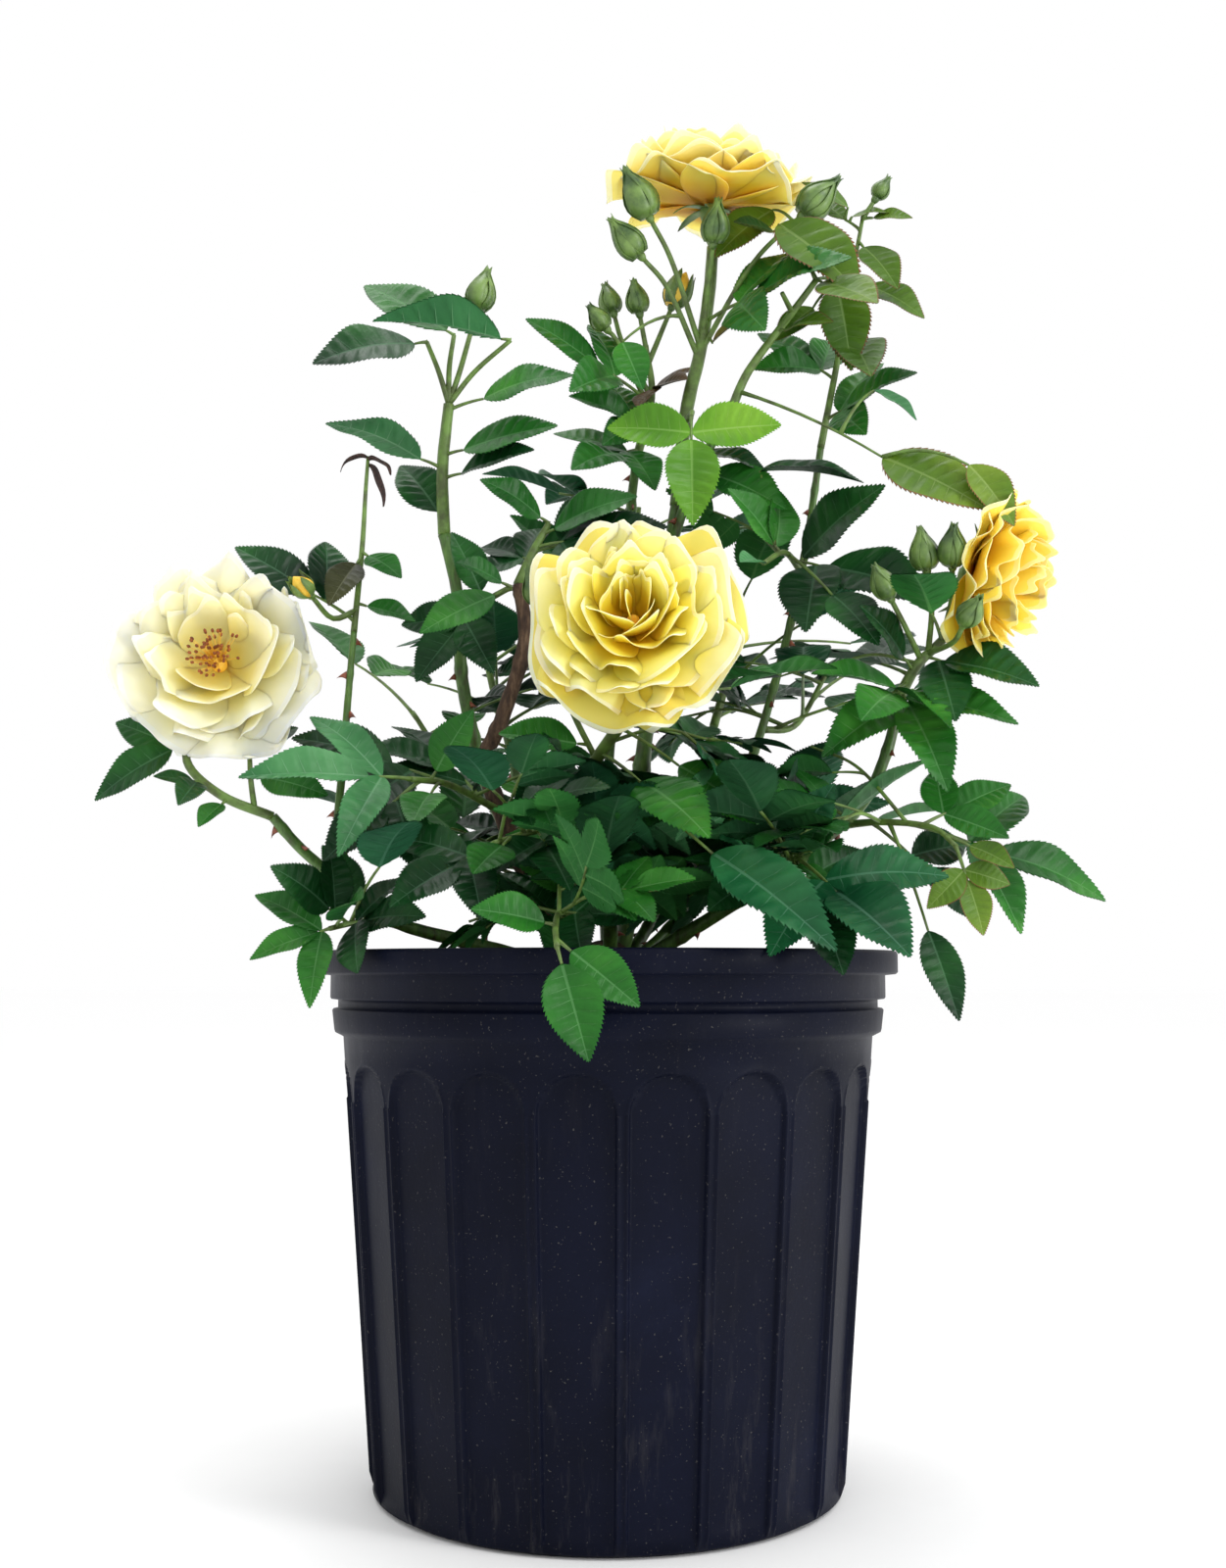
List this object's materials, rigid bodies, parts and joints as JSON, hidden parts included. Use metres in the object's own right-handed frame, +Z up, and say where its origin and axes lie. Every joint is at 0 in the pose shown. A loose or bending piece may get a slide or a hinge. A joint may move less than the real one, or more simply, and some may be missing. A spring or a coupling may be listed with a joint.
{
  "type": "potted rose bush",
  "caption": "Yellow-flowered rose bush in a black ribbed nursery pot, with open blooms, buds, green canes and serrated leaves",
  "frame": {"origin": "centre of the pot's flat underside", "axes": "+Z up, -Y towards the viewer, +X to the viewer's right"},
  "size_m": [0.465, 0.3352, 0.6608],
  "materials": {
    "pot_plastic": "matte, scuffed",
    "potting_mix": "rough, crumbly",
    "cane_wood": "smooth green bark with thorns",
    "old_bark": "rough brown bark",
    "leaf": "glossy green leaves",
    "petal": "soft, satin"
  },
  "bodies": {
    "root": {"pot": "pot_plastic", "soil": "potting_mix", "crown": "old_bark", "cane_centre": "cane_wood", "cane_front": "cane_wood", "cane_old": "old_bark", "cane_left_tall": "cane_wood", "cane_left_low": "cane_wood", "cane_left_thin": "cane_wood", "cane_right": "cane_wood", "cane_right_thin": "cane_wood", "cane_centre_right": "cane_wood", "cane_centre_left": "cane_wood", "cane_back_left": "cane_wood", "cane_back_right": "cane_wood", "cane_back": "cane_wood", "bloom_centre": "petal", "bloom_top": "petal", "bloom_left": "petal", "bloom_right": "petal", "foliage_left_bloom": "leaf", "foliage_low_left": "leaf", "foliage_left_thin": "leaf", "foliage_left_mid": "leaf", "foliage_left_top": "leaf", "foliage_left_inner": "leaf", "foliage_old": "leaf", "foliage_centre_left": "leaf", "foliage_centre_top": "leaf", "foliage_upper_right": "leaf", "foliage_right_thin": "leaf", "foliage_right_inner": "leaf", "foliage_right": "leaf", "foliage_right_low": "leaf", "foliage_right_front": "leaf", "foliage_front": "leaf", "foliage_front_low": "leaf", "foliage_front_left": "leaf", "foliage_back_left": "leaf", "foliage_back_right": "leaf", "foliage_back": "leaf", "foliage_low_back_left": "leaf", "foliage_low_back_right": "leaf", "foliage_low_back": "leaf", "foliage_low_inner_left": "leaf", "foliage_low_inner_right": "leaf", "foliage_mid_left": "leaf", "foliage_mid_right": "leaf"}
  },
  "joints": []
}
